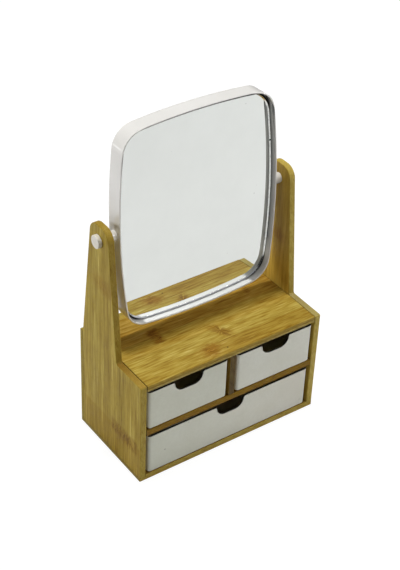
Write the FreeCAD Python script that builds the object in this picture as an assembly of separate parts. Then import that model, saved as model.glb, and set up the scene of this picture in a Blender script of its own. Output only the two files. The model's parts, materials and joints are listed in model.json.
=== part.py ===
import FreeCAD, Part
import math
import os

from FreeCAD import Vector

os.makedirs("parts", exist_ok=True)

# ---------------------------------------------------------------------------
# Bamboo vanity organiser: two shaped side panels carry a shelf carcass with
# three tray drawers and, on their tapered uprights, a swivelling mirror.
#
# Frame: millimetres, +Z up, +X to the user's right, the front faces -Y.
# Origin: on the ground, at the middle of the footprint.
# ---------------------------------------------------------------------------

# carcass
WIDTH = 220.0            # over the two side panels
SIDE_T = 7.0             # side panel thickness
SIDE_D = 107.5           # side panel depth, front edge to rear edge
BACK_T = 5.0             # back panel thickness
BODY_H = 122.5           # ground to the top of the shelf
BOARD_T = 7.0            # shelf, divider and bottom board thickness
LIP_T = 4.0              # part of the bottom board that runs under the sides
MID_Z = 58.5             # underside of the middle shelf
EASE = 0.8               # eased arrises of the side panels
BOARD_EASE = 0.6         # eased arrises of the boards

# uprights (upper part of each side panel), measured from the front edge
UP_TOP = 267.5           # height of the uprights
UP_FRONT_Y = 44.4        # front edge of the upright where it leaves the shelf
UP_FRONT_TAPER = 0.106   # rearward lean of the front edge, mm per mm
UP_REAR_TAPER = 0.117    # forward lean of the rear edge, mm per mm
UP_R = 12.8              # rounding of the upright's two top corners
UP_ROOT_R = 2.0          # hollow where the upright meets the panel's top edge
NOSE_R = 1.5             # rounding of the panel's front top corner

# mirror
PIVOT_Y = 75.6           # pivot axis behind the front edge
PIVOT_Z = 250.8          # pivot axis above the ground
TILT = 3.4               # rest tilt of the mirror, top edge leaning back
RING_A = 92.5            # half width of the frame
RING_B = 111.0           # half height of the frame
RING_SAG_A = 9.0         # bulge of the long sides
RING_SAG_B = 6.3         # bulge of the top and bottom sides
RING_RC = 24.8           # corner radius of the frame
RING_T = 19.0            # depth of the frame, front rim to rear rim
RIM_W = 1.7              # wall thickness of the frame
LEDGE_W = 5.5            # ledge inside the frame that the mirrors sit on
LEDGE_T = 1.4
PAD_T = 0.6              # black foam adhesive pads
GLASS_T = 1.6
GLASS_GAP = 0.9          # play between the glass and the frame wall
GLASS_RC = 30.0          # corner radius of the glass, fuller than the frame's
GLASS_BEVEL = 0.35       # ground arris of the glass
PAD_GAP = 0.25
BOARD_GAP = 0.3

# pivots
PIN_R = 3.0
PIN_CLEAR = 0.06         # running clearance of the pin in the upright
HEAD_R = 6.9
HEAD_T = 4.0
HEAD_GAP = 0.3           # head stands this far off the upright
BOSS_R = 5.9
BOSS_END = 101.7         # end face of the frame's bosses, from the middle plane
SOCKET_DEPTH = 8.6
WASHER_R = 5.4
WASHER_T = 0.9
WASHER_GAP = 0.05

# drawers
FRONT_SET = 0.4          # drawer fronts sit this far behind the panel edges
DRAWER_D = 105.6
DRAWER_LIFT = 0.3        # running clearance under a drawer
UPPER_W = 94.6
LOWER_W = 199.6
UPPER_TOP = 112.5
LOWER_TOP = 55.0
WALL = 1.8
FLOOR = 1.8
CORNER_R = 3.6           # upright corners
HEEL_R = 1.6             # bottom edges
NOTCH_FLAT = 6.2         # half width of the flat at the bottom of the notch
NOTCH_DEPTH = 12.4
NOTCH_R = 10.5           # lower corners of the notch
NOTCH_LIP_R = 2.5        # where the notch meets the rim

# joinery
DOWEL_R = 2.0
SIDE_DOWEL_IN = 4.5      # depth of a dowel in a board's face
END_DOWEL_IN = 11.5      # depth of a dowel in a board's end
DOWEL_Y = (25.0, 82.0)
SCREW_R = 1.4
SCREW_HEAD_R = 2.9
SCREW_HEAD_T = 1.6
SCREW_L = 15.0

HALF = WIDTH / 2.0
INNER = HALF - SIDE_T                    # inner face of a side panel
DEPTH = SIDE_D + BACK_T
Y0 = -DEPTH / 2.0                        # front edge of the side panels


def yy(v):
    """Distance behind the front edge to the row's Y."""
    return Y0 + v


# ---------------------------------------------------------------------------
# helpers
# ---------------------------------------------------------------------------
def rounded_path(points, radii, place):
    """Closed wire through 2-D points with an arc at each corner.

    place maps a 2-D point to a Vector.
    """
    n = len(points)
    starts, ends, mids = [], [], []
    for i in range(n):
        p = points[i]
        a = points[(i - 1) % n]
        b = points[(i + 1) % n]
        r = radii[i]
        ua = (a[0] - p[0], a[1] - p[1])
        ub = (b[0] - p[0], b[1] - p[1])
        la = math.hypot(*ua)
        lb = math.hypot(*ub)
        ua = (ua[0] / la, ua[1] / la)
        ub = (ub[0] / lb, ub[1] / lb)
        if r <= 0:
            starts.append(p)
            ends.append(p)
            mids.append(None)
            continue
        cosang = ua[0] * ub[0] + ua[1] * ub[1]
        half = math.acos(max(-1.0, min(1.0, cosang))) / 2.0
        t = r / math.tan(half)
        s = (p[0] + ua[0] * t, p[1] + ua[1] * t)
        e = (p[0] + ub[0] * t, p[1] + ub[1] * t)
        bis = (ua[0] + ub[0], ua[1] + ub[1])
        lbis = math.hypot(*bis)
        bis = (bis[0] / lbis, bis[1] / lbis)
        dc = r / math.sin(half)
        c = (p[0] + bis[0] * dc, p[1] + bis[1] * dc)
        m = (c[0] - bis[0] * r, c[1] - bis[1] * r)
        starts.append(s)
        ends.append(e)
        mids.append(m)
    edges = []
    for i in range(n):
        if mids[i] is not None:
            edges.append(Part.Arc(place(starts[i]), place(mids[i]),
                                  place(ends[i])).toShape())
        a = place(ends[i])
        b = place(starts[(i + 1) % n])
        if (b - a).Length > 1e-6:
            edges.append(Part.LineSegment(a, b).toShape())
    return Part.Wire(Part.__sortEdges__(edges))


def prism(wire, vec):
    return Part.Face(wire).extrude(vec)


def box(x0, x1, y0, y1, z0, z1):
    return Part.makeBox(x1 - x0, y1 - y0, z1 - z0, Vector(x0, y0, z0))


def fillet_where(shape, radius, test):
    """Round the edges of shape for which test(edge) holds."""
    picked = [e for e in shape.Edges if test(e)]
    if not picked:
        return shape
    return shape.makeFillet(radius, picked)


def on_plane(edge, axis, value, tol=1e-4):
    pts = [v.Point for v in edge.Vertexes]
    mid = edge.valueAt((edge.FirstParameter + edge.LastParameter) / 2.0)
    pts.append(mid)
    return all(abs(getattr(p, axis) - value) < tol for p in pts)


def eased_board(x0, x1, y0, y1, z0, z1, r, sides="all"):
    """A board whose twelve arrises are slightly rounded."""
    b = box(x0, x1, y0, y1, z0, z1)
    return b.makeFillet(r, b.Edges)


def solid(shape):
    s = shape.removeSplitter() if hasattr(shape, "removeSplitter") else shape
    if s.ShapeType == "Compound" and len(s.Solids) == 1:
        s = s.Solids[0]
    return s


def save(name, shape):
    shape.exportStep("parts/%s.step" % name)
    print("%-26s solids %d  volume %10.1f mm3  valid %s"
          % (name, len(shape.Solids), shape.Volume, shape.isValid()))


# ---------------------------------------------------------------------------
# side panels with their tapered uprights
# ---------------------------------------------------------------------------
rise = UP_TOP - BODY_H
profile = [
    (0.0, LIP_T),
    (0.0, BODY_H),
    (UP_FRONT_Y, BODY_H),
    (UP_FRONT_Y + UP_FRONT_TAPER * rise, UP_TOP),
    (SIDE_D - UP_REAR_TAPER * rise, UP_TOP),
    (SIDE_D, BODY_H),
    (SIDE_D, LIP_T),
]
profile_r = [0.0, NOSE_R, UP_ROOT_R, UP_R, UP_R, 0.0, 0.0]


def dowel_x(x_from, x_to, y, z, r=DOWEL_R):
    return Part.makeCylinder(r, abs(x_to - x_from),
                             Vector(min(x_from, x_to), y, z), Vector(1, 0, 0))


def dowel_z(z_from, z_to, x, y, r=DOWEL_R):
    return Part.makeCylinder(r, z_to - z_from, Vector(x, y, z_from),
                             Vector(0, 0, 1))


TOP_Z = BODY_H - BOARD_T
SHELF_DOWEL_Z = {"top": TOP_Z + BOARD_T / 2.0, "mid": MID_Z + BOARD_T / 2.0}


def shelf_dowels(z, side):
    """The two dowels that join a shelf to one side panel."""
    a = side * (INNER - END_DOWEL_IN)
    b = side * (INNER + SIDE_DOWEL_IN)
    return [dowel_x(a, b, yy(d), z) for d in DOWEL_Y]


BASE_DOWEL_Z = (1.0, 13.0)


def base_dowels(side):
    x = side * (HALF - SIDE_T / 2.0)
    return [dowel_z(BASE_DOWEL_Z[0], BASE_DOWEL_Z[1], x, yy(d))
            for d in DOWEL_Y]


def divider_dowels():
    out = []
    for d in DOWEL_Y:
        out.append(dowel_z(MID_Z + BOARD_T - SIDE_DOWEL_IN,
                           MID_Z + BOARD_T + 9.5, 0.0, yy(d)))
        out.append(dowel_z(TOP_Z - 9.5, TOP_Z + SIDE_DOWEL_IN, 0.0, yy(d)))
    return out


# back panel screws: (x, z)
SCREWS = [(s * (HALF - SIDE_T / 2.0), z) for s in (-1, 1)
          for z in (22.0, 61.5, 101.0)]
SCREWS += [(s * 52.0, z) for s in (-1, 1) for z in (3.5, TOP_Z + 3.5)]


def screw_core(x, z, extra=0.0):
    """Shank space of one screw, from the back panel's rear face inwards."""
    return Part.makeCylinder(SCREW_R + extra, SCREW_L - 2.0,
                             Vector(x, yy(DEPTH), z), Vector(0, -1, 0))


def screw_tip(x, z):
    return Part.makeCone(SCREW_R, 0.25, 2.0,
                         Vector(x, yy(DEPTH) - (SCREW_L - 2.0), z),
                         Vector(0, -1, 0))


def screw_head_cone(x, z):
    return Part.makeCone(SCREW_HEAD_R, SCREW_R, SCREW_HEAD_T,
                         Vector(x, yy(DEPTH), z), Vector(0, -1, 0))


def side_panel(side):
    x_out = side * HALF
    vec = Vector(-side * SIDE_T, 0, 0)
    wire = rounded_path(profile, profile_r,
                        lambda p: Vector(x_out, yy(p[0]), p[1]))
    body = prism(wire, vec)
    x_in = side * INNER
    body = fillet_where(body, EASE,
                        lambda e: on_plane(e, "x", x_out) or
                        on_plane(e, "x", x_in))
    hole = Part.makeCylinder(PIN_R + PIN_CLEAR, SIDE_T + 4,
                             Vector(x_in - side * 2, yy(PIVOT_Y), PIVOT_Z),
                             Vector(side, 0, 0))
    cutters = [hole]
    cutters += shelf_dowels(SHELF_DOWEL_Z["top"], side)
    cutters += shelf_dowels(SHELF_DOWEL_Z["mid"], side)
    cutters += base_dowels(side)
    for (x, z) in SCREWS:
        if abs(x - side * (HALF - SIDE_T / 2.0)) < 0.1:
            cutters.append(screw_core(x, z))
            cutters.append(screw_tip(x, z))
    return solid(body.cut(cutters))


save("left_side_panel", side_panel(-1))
save("right_side_panel", side_panel(1))

# ---------------------------------------------------------------------------
# shelves, divider, bottom and back
# ---------------------------------------------------------------------------
top_shelf = eased_board(-INNER, INNER, yy(0), yy(SIDE_D), TOP_Z, BODY_H,
                        BOARD_EASE)
cut = shelf_dowels(SHELF_DOWEL_Z["top"], -1) + \
    shelf_dowels(SHELF_DOWEL_Z["top"], 1) + divider_dowels()
for (x, z) in SCREWS:
    if z > TOP_Z and abs(x) < 100:
        cut += [screw_core(x, z), screw_tip(x, z)]
save("top_shelf", solid(top_shelf.cut(cut)))

middle_shelf = eased_board(-INNER, INNER, yy(0), yy(SIDE_D), MID_Z,
                           MID_Z + BOARD_T, BOARD_EASE)
cut = shelf_dowels(SHELF_DOWEL_Z["mid"], -1) + \
    shelf_dowels(SHELF_DOWEL_Z["mid"], 1) + divider_dowels()
save("middle_shelf", solid(middle_shelf.cut(cut)))

divider = eased_board(-BOARD_T / 2, BOARD_T / 2, yy(0.3), yy(SIDE_D),
                      MID_Z + BOARD_T, TOP_Z, 0.4)
save("center_divider", solid(divider.cut(divider_dowels())))

# the bottom board: its ends are rebated, and the lip that is left runs under
# the side panels
steps = [(-HALF, 0.0), (HALF, 0.0), (HALF, LIP_T), (INNER, LIP_T),
         (INNER, BOARD_T), (-INNER, BOARD_T), (-INNER, LIP_T),
         (-HALF, LIP_T)]
wire = rounded_path(steps, [0.0] * 8, lambda p: Vector(p[0], yy(0), p[1]))
bottom = prism(wire, Vector(0, SIDE_D, 0))


def outer_arris(e):
    b = e.BoundBox
    if b.ZMax < 1e-4:
        return True
    low = b.ZMin > -1e-4 and b.ZMax < LIP_T + 1e-4
    if low and b.XLength < 1e-4 and abs(abs(b.XMin) - HALF) < 1e-4:
        return True
    return b.ZMin > BOARD_T - 1e-4 and b.XLength > 100


bottom = fillet_where(bottom, BOARD_EASE, outer_arris)
cut = base_dowels(-1) + base_dowels(1)
for (x, z) in SCREWS:
    if z < BOARD_T and abs(x) < 100:
        cut += [screw_core(x, z), screw_tip(x, z)]
save("bottom_panel", solid(bottom.cut(cut)))

back = eased_board(-HALF, HALF, yy(SIDE_D), yy(DEPTH), 0.0, BODY_H,
                   BOARD_EASE)
cut = []
for (x, z) in SCREWS:
    cut += [screw_core(x, z), screw_head_cone(x, z)]
save("back_panel", solid(back.cut(cut)))


# ---------------------------------------------------------------------------
# hidden joinery
# ---------------------------------------------------------------------------
def chamfered(cyls, c=0.5):
    out = []
    for s in cyls:
        ends = [e for e in s.Edges if e.Closed and len(e.Vertexes) == 1]
        out.append(s.makeChamfer(c, ends))
    return Part.makeCompound(out)


save("top_shelf_dowels",
     chamfered(shelf_dowels(SHELF_DOWEL_Z["top"], -1) +
               shelf_dowels(SHELF_DOWEL_Z["top"], 1)))
save("middle_shelf_dowels",
     chamfered(shelf_dowels(SHELF_DOWEL_Z["mid"], -1) +
               shelf_dowels(SHELF_DOWEL_Z["mid"], 1)))
save("divider_dowels", chamfered(divider_dowels()))
save("bottom_panel_dowels", chamfered(base_dowels(-1) + base_dowels(1)))


def screw(x, z):
    s = screw_core(x, z).fuse([screw_tip(x, z), screw_head_cone(x, z)])
    s = s.removeSplitter()
    y = yy(DEPTH)
    cross = box(x - 1.55, x + 1.55, y - 1.1, y + 1, z - 0.4, z + 0.4)
    cross = cross.fuse(box(x - 0.4, x + 0.4, y - 1.1, y + 1,
                           z - 1.55, z + 1.55))
    return solid(s.cut(cross))


save("back_panel_screws", Part.makeCompound([screw(x, z)
                                             for (x, z) in SCREWS]))


# ---------------------------------------------------------------------------
# drawers: one-piece moulded trays with a finger notch in the front wall
# ---------------------------------------------------------------------------
def notch_wire(xc, z_top, y):
    """Outline of the finger notch, closed above the rim.

    Each side is an S: a hollow lower arc that runs into a small round at the
    rim, the two arcs tangent to each other.
    """
    zb = z_top - NOTCH_DEPTH
    k, lip = NOTCH_R, NOTCH_LIP_R
    z1, z2 = zb + k, z_top - lip
    run = math.sqrt((k + lip) ** 2 - (z2 - z1) ** 2)
    x1, x2 = NOTCH_FLAT, NOTCH_FLAT + run
    a = math.atan2(z2 - z1, run)
    am = (a - math.pi / 2) / 2
    bm = (a + math.pi + math.pi / 2) / 2
    up = z_top + 6.0

    def P(u, v):
        return Vector(xc + u, y, v)

    e = [Part.LineSegment(P(-x1, zb), P(x1, zb)).toShape()]
    for s in (1, -1):
        join = P(s * (x1 + k * math.cos(a)), z1 + k * math.sin(a))
        e.append(Part.Arc(P(s * x1, zb),
                          P(s * (x1 + k * math.cos(am)),
                            z1 + k * math.sin(am)), join).toShape())
        e.append(Part.Arc(join,
                          P(s * (x2 + lip * math.cos(bm)),
                            z2 + lip * math.sin(bm)),
                          P(s * x2, z_top)).toShape())
        e.append(Part.LineSegment(P(s * x2, z_top), P(s * x2, up)).toShape())
    e.append(Part.LineSegment(P(-x2, up), P(x2, up)).toShape())
    return Part.Wire(Part.__sortEdges__(e))


def rounded_rect(x0, x1, y0, y1, z, r):
    return rounded_path([(x0, y0), (x1, y0), (x1, y1), (x0, y1)], [r] * 4,
                        lambda p: Vector(p[0], p[1], z))


def drawer(xc, width, z_low, z_top):
    x0, x1 = xc - width / 2, xc + width / 2
    y0, y1 = yy(FRONT_SET), yy(FRONT_SET + DRAWER_D)
    outer = prism(rounded_rect(x0, x1, y0, y1, z_low, CORNER_R),
                  Vector(0, 0, z_top - z_low))
    outer = fillet_where(outer, HEEL_R, lambda e: on_plane(e, "z", z_low))
    inner = prism(rounded_rect(x0 + WALL, x1 - WALL, y0 + WALL, y1 - WALL,
                               z_low + FLOOR, CORNER_R - WALL),
                  Vector(0, 0, z_top - z_low))
    inner = fillet_where(inner, 1.2,
                         lambda e: on_plane(e, "z", z_low + FLOOR))
    tray = outer.cut(inner)
    w = notch_wire(xc, z_top, y0 - 2.0)
    tray = solid(tray.cut(prism(w, Vector(0, WALL + 4.0, 0))))

    # soften the rim and the notch on the outside
    def rim(e):
        b = e.BoundBox
        if b.ZMin > z_top - 1e-4 and (b.XLength > 1 or b.YLength > 1):
            # outer rim edges only
            m = e.valueAt((e.FirstParameter + e.LastParameter) / 2.0)
            return (abs(m.x - x0) < 0.9 or abs(m.x - x1) < 0.9 or
                    abs(m.y - y0) < 0.9 or abs(m.y - y1) < 0.9)
        if abs(b.YMin - y0) < 1e-4 and abs(b.YMax - y0) < 1e-4:
            return b.ZMin > z_top - NOTCH_DEPTH - 0.01 and \
                b.ZMax < z_top + 0.01 and \
                b.XMin > xc - 22 and b.XMax < xc + 22
        return False

    try:
        soft = fillet_where(tray, 0.5, rim)
        if soft.isValid() and len(soft.Solids) == 1:
            tray = soft
        else:
            print("rim rounding skipped")
    except Exception as err:
        print("rim rounding skipped:", err)
    return solid(tray)


bay = (INNER + BOARD_T / 2) / 2.0        # middle of an upper drawer bay
save("drawer_left", drawer(-bay, UPPER_W, MID_Z + BOARD_T + DRAWER_LIFT,
                           UPPER_TOP))
save("drawer_right", drawer(bay, UPPER_W, MID_Z + BOARD_T + DRAWER_LIFT,
                            UPPER_TOP))
save("drawer_bottom", drawer(0.0, LOWER_W, BOARD_T + DRAWER_LIFT, LOWER_TOP))


# ---------------------------------------------------------------------------
# mirror: built upright about the pivot, then tilted
# ---------------------------------------------------------------------------
def ring_arcs(inset, rc=None):
    """Outline of the frame, drawn in by inset.

    Four shallow side arcs joined by four corner arcs. The outline is a
    parallel curve of the frame's outer edge. rc replaces the corner radius.
    """
    a, b, sa, sb = RING_A, RING_B, RING_SAG_A, RING_SAG_B
    ra = (b * b + sa * sa) / (2 * sa)
    rb = (a * a + sb * sb) / (2 * sb)
    c1 = (a - ra, 0.0)
    c2 = (0.0, b - rb)
    ra -= inset
    rb -= inset
    rk = (RING_RC - inset) if rc is None else rc
    r1, r2 = ra - rk, rb - rk
    dx, dz = c2[0] - c1[0], c2[1] - c1[1]
    d = math.hypot(dx, dz)
    ux, uz = dx / d, dz / d
    h0 = (r1 * r1 - r2 * r2 + d * d) / (2 * d)
    h = math.sqrt(r1 * r1 - h0 * h0)
    cand = [(c1[0] + ux * h0 - uz * h, c1[1] + uz * h0 + ux * h),
            (c1[0] + ux * h0 + uz * h, c1[1] + uz * h0 - ux * h)]
    c = max(cand, key=lambda q: q[0] + q[1])
    t1 = math.atan2(c[1] - c1[1], c[0] - c1[0])
    t2 = math.atan2(c[1] - c2[1], c[0] - c2[0])
    s1 = (c1[0] + ra * math.cos(t1), c1[1] + ra * math.sin(t1))
    s2 = (c2[0] + rb * math.cos(t2), c2[1] + rb * math.sin(t2))
    tm = (t1 + t2) / 2
    m = (c[0] + rk * math.cos(tm), c[1] + rk * math.sin(tm))
    side = (c1[0] + ra, 0.0)
    top = (0.0, c2[1] + rb)
    return s1, m, s2, side, top


def ring_wire(inset, y, rc=None):
    s1, m, s2, side, top = ring_arcs(inset, rc)

    def P(p, fx=1, fz=1):
        return Vector(fx * p[0], y, PIVOT_Z + fz * p[1])

    e = [Part.Arc(P(s1, 1, -1), P(side), P(s1)).toShape(),
         Part.Arc(P(s1), P(m), P(s2)).toShape(),
         Part.Arc(P(s2), P(top), P(s2, -1)).toShape(),
         Part.Arc(P(s2, -1), P(m, -1), P(s1, -1)).toShape(),
         Part.Arc(P(s1, -1), P(side, -1), P(s1, -1, -1)).toShape(),
         Part.Arc(P(s1, -1, -1), P(m, -1, -1), P(s2, -1, -1)).toShape(),
         Part.Arc(P(s2, -1, -1), P(top, 1, -1), P(s2, 1, -1)).toShape(),
         Part.Arc(P(s2, 1, -1), P(m, 1, -1), P(s1, 1, -1)).toShape()]
    return Part.Wire(Part.__sortEdges__(e))


YP = yy(PIVOT_Y)


def tilt(shape):
    s = shape.copy()
    s.rotate(Vector(0, YP, PIVOT_Z), Vector(1, 0, 0), -TILT)
    return s


def slab(inset, y0, y1, rc=None):
    return prism(ring_wire(inset, y0, rc), Vector(0, y1 - y0, 0))


f0, f1 = YP - RING_T / 2, YP + RING_T / 2
frame = slab(0.0, f0, f1).cut(slab(RIM_W, f0 - 1, f1 + 1))
frame = fillet_where(frame, 0.6, lambda e: on_plane(e, "y", f0) or
                     on_plane(e, "y", f1))
ledge = slab(RIM_W - 0.5, YP - LEDGE_T / 2, YP + LEDGE_T / 2).cut(
    slab(RIM_W + LEDGE_W, YP - 5, YP + 5))
frame = frame.fuse(ledge).removeSplitter()
for s in (-1, 1):
    inner_end = RING_A - 0.8
    boss = Part.makeCylinder(BOSS_R, BOSS_END - inner_end,
                             Vector(s * inner_end, YP, PIVOT_Z),
                             Vector(s, 0, 0))
    boss = fillet_where(boss, 0.6,
                        lambda e: on_plane(e, "x", s * BOSS_END))
    frame = frame.fuse(boss)
    frame = frame.cut(Part.makeCylinder(
        PIN_R, SOCKET_DEPTH + 1,
        Vector(s * (BOSS_END - SOCKET_DEPTH), YP, PIVOT_Z),
        Vector(s, 0, 0)))
save("mirror_frame", tilt(solid(frame)))

save("mirror_backing_board",
     tilt(slab(RIM_W + LEDGE_W + BOARD_GAP, YP - LEDGE_T / 2,
               YP + LEDGE_T / 2)))

for name, s in (("front", -1), ("rear", 1)):
    p0 = YP + s * LEDGE_T / 2
    p1 = p0 + s * PAD_T
    pad = slab(RIM_W + PAD_GAP, min(p0, p1), max(p0, p1))
    save(name + "_adhesive_pad", tilt(pad))
    g0 = p1
    g1 = p1 + s * GLASS_T
    glass = slab(RIM_W + GLASS_GAP, min(g0, g1), max(g0, g1), GLASS_RC)
    glass = glass.makeChamfer(GLASS_BEVEL,
                              [e for e in glass.Edges
                               if on_plane(e, "y", g1)])
    save(name + "_glass", tilt(glass))

# ---------------------------------------------------------------------------
# pivots
# ---------------------------------------------------------------------------
for name, s in (("left", -1), ("right", 1)):
    x_head = s * (HALF + HEAD_GAP)
    head = Part.makeCylinder(HEAD_R, HEAD_T, Vector(x_head, YP, PIVOT_Z),
                             Vector(s, 0, 0))
    head = fillet_where(head, 0.7,
                        lambda e: on_plane(e, "x", x_head + s * HEAD_T))
    x_end = s * (BOSS_END - SOCKET_DEPTH + 0.4)
    shank = Part.makeCylinder(PIN_R, abs(x_head - x_end),
                              Vector(x_end, YP, PIVOT_Z), Vector(s, 0, 0))
    shank = shank.makeChamfer(0.5, [e for e in shank.Edges
                                    if on_plane(e, "x", x_end)])
    save("pivot_pin_" + name, tilt(solid(head.fuse(shank))))
    x_w = s * (BOSS_END + WASHER_GAP)
    washer = Part.makeCylinder(WASHER_R, WASHER_T,
                               Vector(x_w, YP, PIVOT_Z), Vector(s, 0, 0))
    washer = washer.cut(Part.makeCylinder(PIN_R + 0.05, WASHER_T + 2,
                                          Vector(x_w - s, YP, PIVOT_Z),
                                          Vector(s, 0, 0)))
    save("friction_washer_" + name, tilt(solid(washer)))
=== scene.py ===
import json
import math

import bmesh
import bpy
from mathutils import Matrix, Vector

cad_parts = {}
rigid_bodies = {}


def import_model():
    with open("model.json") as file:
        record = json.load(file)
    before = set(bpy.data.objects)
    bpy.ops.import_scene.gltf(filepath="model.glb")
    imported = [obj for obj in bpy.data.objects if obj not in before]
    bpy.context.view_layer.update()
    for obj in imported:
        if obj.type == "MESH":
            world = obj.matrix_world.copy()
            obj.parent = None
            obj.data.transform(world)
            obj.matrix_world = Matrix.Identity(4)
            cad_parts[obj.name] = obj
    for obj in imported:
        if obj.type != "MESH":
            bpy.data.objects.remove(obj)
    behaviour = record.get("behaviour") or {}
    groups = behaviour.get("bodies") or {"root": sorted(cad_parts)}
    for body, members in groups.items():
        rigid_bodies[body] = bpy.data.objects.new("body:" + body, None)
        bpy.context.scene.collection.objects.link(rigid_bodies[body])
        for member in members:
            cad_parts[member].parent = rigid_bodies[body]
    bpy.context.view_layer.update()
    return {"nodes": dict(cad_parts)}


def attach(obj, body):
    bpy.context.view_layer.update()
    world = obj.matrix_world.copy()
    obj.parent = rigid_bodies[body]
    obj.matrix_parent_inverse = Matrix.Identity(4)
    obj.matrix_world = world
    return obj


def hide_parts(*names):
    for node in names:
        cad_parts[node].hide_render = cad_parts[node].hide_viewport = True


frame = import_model()
NODES = frame["nodes"]
scene = bpy.context.scene
scene.view_settings.view_transform = "Standard"
scene.view_settings.look = "None"
scene.view_settings.exposure = 0.0
scene.view_settings.gamma = 1.0

MM = 0.001


def srgb(r, g, b, a=1.0):
    """8-bit sRGB to the linear colour a shader socket takes."""
    def lin(c):
        c /= 255.0
        return c / 12.92 if c <= 0.04045 else ((c + 0.055) / 1.055) ** 2.4
    return (lin(r), lin(g), lin(b), a)


# ---------------------------------------------------------------------------
# a small node-graph helper
# ---------------------------------------------------------------------------
class Graph:
    def __init__(self, name):
        self.mat = bpy.data.materials.new(name)
        self.mat.use_nodes = True
        self.nt = self.mat.node_tree
        self.nt.nodes.clear()
        self.out = self.nt.nodes.new("ShaderNodeOutputMaterial")
        self.bsdf = self.nt.nodes.new("ShaderNodeBsdfPrincipled")
        self.nt.links.new(self.bsdf.outputs[0], self.out.inputs[0])
        self._obj = None

    def link(self, a, b):
        self.nt.links.new(a, b)

    def put(self, socket, value):
        if hasattr(value, "is_output") or hasattr(value, "node"):
            self.link(value, socket)
        else:
            socket.default_value = value

    def coords(self):
        if self._obj is None:
            self._obj = self.nt.nodes.new("ShaderNodeTexCoord")
        return self._obj.outputs["Object"]

    def normal(self):
        self.coords()
        return self._obj.outputs["Normal"]

    def math(self, op, a, b=0.0, c=0.0, clamp=False):
        n = self.nt.nodes.new("ShaderNodeMath")
        n.operation = op
        n.use_clamp = clamp
        self.put(n.inputs[0], a)
        self.put(n.inputs[1], b)
        self.put(n.inputs[2], c)
        return n.outputs[0]

    def vmath(self, op, a, b=(0, 0, 0), scale=None):
        n = self.nt.nodes.new("ShaderNodeVectorMath")
        n.operation = op
        self.put(n.inputs[0], a)
        if op not in ("LENGTH", "NORMALIZE", "ABSOLUTE"):
            self.put(n.inputs[1], b)
        if scale is not None:
            self.put(n.inputs["Scale"], scale)
        return n.outputs["Value"] if op in ("LENGTH", "DOT_PRODUCT", "DISTANCE") \
            else n.outputs["Vector"]

    def xyz(self, v):
        n = self.nt.nodes.new("ShaderNodeSeparateXYZ")
        self.put(n.inputs[0], v)
        return n.outputs[0], n.outputs[1], n.outputs[2]

    def vec(self, x, y, z):
        n = self.nt.nodes.new("ShaderNodeCombineXYZ")
        for s, v in zip(n.inputs, (x, y, z)):
            self.put(s, v)
        return n.outputs[0]

    def noise(self, vec, scale=1.0, detail=2.0, rough=0.5, dist=0.0, dims="3D"):
        n = self.nt.nodes.new("ShaderNodeTexNoise")
        n.noise_dimensions = dims
        if dims == "1D":
            self.put(n.inputs["W"], vec)
        else:
            self.put(n.inputs["Vector"], vec)
        n.inputs["Scale"].default_value = scale
        n.inputs["Detail"].default_value = detail
        n.inputs["Roughness"].default_value = rough
        n.inputs["Distortion"].default_value = dist
        return n.outputs[0]

    def voronoi(self, vec, scale=1.0, feature="F1", rand=1.0):
        n = self.nt.nodes.new("ShaderNodeTexVoronoi")
        n.feature = feature
        self.put(n.inputs["Vector"], vec)
        n.inputs["Scale"].default_value = scale
        n.inputs["Randomness"].default_value = rand
        return n.outputs["Distance"]

    def white(self, w):
        n = self.nt.nodes.new("ShaderNodeTexWhiteNoise")
        n.noise_dimensions = "1D"
        self.put(n.inputs["W"], w)
        return n.outputs["Value"]

    def ramp(self, value, lo, hi, to_lo=0.0, to_hi=1.0, smooth=False):
        n = self.nt.nodes.new("ShaderNodeMapRange")
        n.interpolation_type = "SMOOTHSTEP" if smooth else "LINEAR"
        n.clamp = True
        self.put(n.inputs["Value"], value)
        for k, v in (("From Min", lo), ("From Max", hi), ("To Min", to_lo),
                     ("To Max", to_hi)):
            self.put(n.inputs[k], v)
        return n.outputs[0]

    def colors(self, fac, stops):
        n = self.nt.nodes.new("ShaderNodeValToRGB")
        cr = n.color_ramp
        while len(cr.elements) < len(stops):
            cr.elements.new(0.5)
        for e, (p, c) in zip(cr.elements, stops):
            e.position = p
            e.color = c
        self.put(n.inputs[0], fac)
        return n.outputs[0]

    def mix(self, fac, a, b, mode="MIX"):
        n = self.nt.nodes.new("ShaderNodeMix")
        n.data_type = "RGBA"
        n.blend_type = mode
        n.clamp_factor = True
        self.put(n.inputs[0], fac)
        self.put(n.inputs[6], a)
        self.put(n.inputs[7], b)
        return n.outputs[2]

    def bump(self, height, strength=0.2, distance=0.0002, normal=None):
        n = self.nt.nodes.new("ShaderNodeBump")
        n.inputs["Strength"].default_value = strength
        n.inputs["Distance"].default_value = distance
        self.put(n.inputs["Height"], height)
        if normal is not None:
            self.put(n.inputs["Normal"], normal)
        return n.outputs[0]

    def set(self, **kw):
        for k, v in kw.items():
            self.put(self.bsdf.inputs[k.replace("_", " ")], v)
        return self


def paint(names, mat):
    for n in [names] if isinstance(names, str) else names:
        o = NODES[n] if n in NODES else bpy.data.objects[n]
        o.data.materials.clear()
        o.data.materials.append(mat)


# ---------------------------------------------------------------------------
# bamboo
# ---------------------------------------------------------------------------
X, Y, Z = 0, 1, 2
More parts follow.
